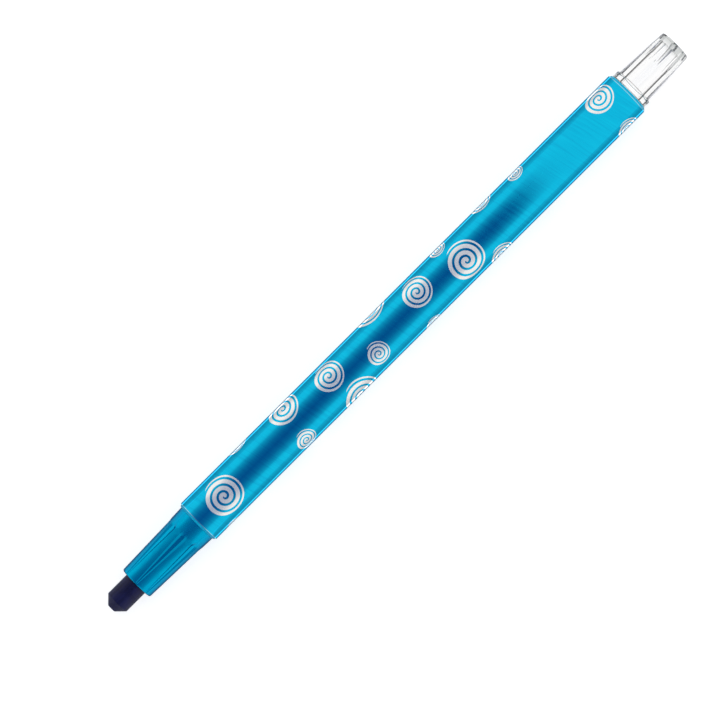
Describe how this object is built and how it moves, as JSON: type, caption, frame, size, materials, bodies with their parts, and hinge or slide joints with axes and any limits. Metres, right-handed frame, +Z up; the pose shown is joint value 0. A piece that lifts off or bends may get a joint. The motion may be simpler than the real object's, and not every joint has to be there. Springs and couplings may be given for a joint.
{
  "type": "twist crayon",
  "caption": "Slim round twist-up wax crayon with a film-wrapped barrel, a fluted translucent nose and a clear knob whose screw drives the crayon out and back.",
  "frame": {"origin": "on the axis, halfway along the barrel", "axes": "+X along the barrel towards the writing tip, +Z up with the crayon lying on its side"},
  "size_m": [0.1471, 0.0094, 0.0092],
  "materials": {
    "barrel_plastic": "smooth extruded blue plastic",
    "metallic_film": "glossy metallic blue printed film with silver spirals",
    "nose_plastic": "translucent blue moulded plastic, glossy",
    "clear_plastic": "clear moulded plastic, glossy",
    "mechanism_plastic": "natural moulded plastic, satin",
    "crayon_wax": "dark blue wax, soft sheen"
  },
  "bodies": {
    "barrel": {"barrel_tube": "barrel_plastic", "printed_wrap": "metallic_film", "nose_cone": "nose_plastic", "rear_bush": "mechanism_plastic"},
    "knob": {"twist_knob": "clear_plastic", "drive_screw": "mechanism_plastic"},
    "carriage": {"carrier_nut": "mechanism_plastic", "push_tube": "mechanism_plastic", "crayon_cup": "mechanism_plastic", "crayon": "crayon_wax"}
  },
  "joints": [
    {"name": "knob_twist", "type": "hinge", "parent": "barrel", "child": "knob", "pos_m": [-0.05625, 0, 0], "axis": [-1, 0, 0], "range_deg": [-540.01, 2772.01]},
    {"name": "crayon_slide", "type": "slide", "parent": "barrel", "child": "carriage", "axis": [1, 0, 0], "range_m": [-0.0075, 0.0385]}
  ],
  "couplings": [
    {"joint": "knob_twist", "follows": "crayon_slide", "rad_per_m": 1256.6}
  ]
}
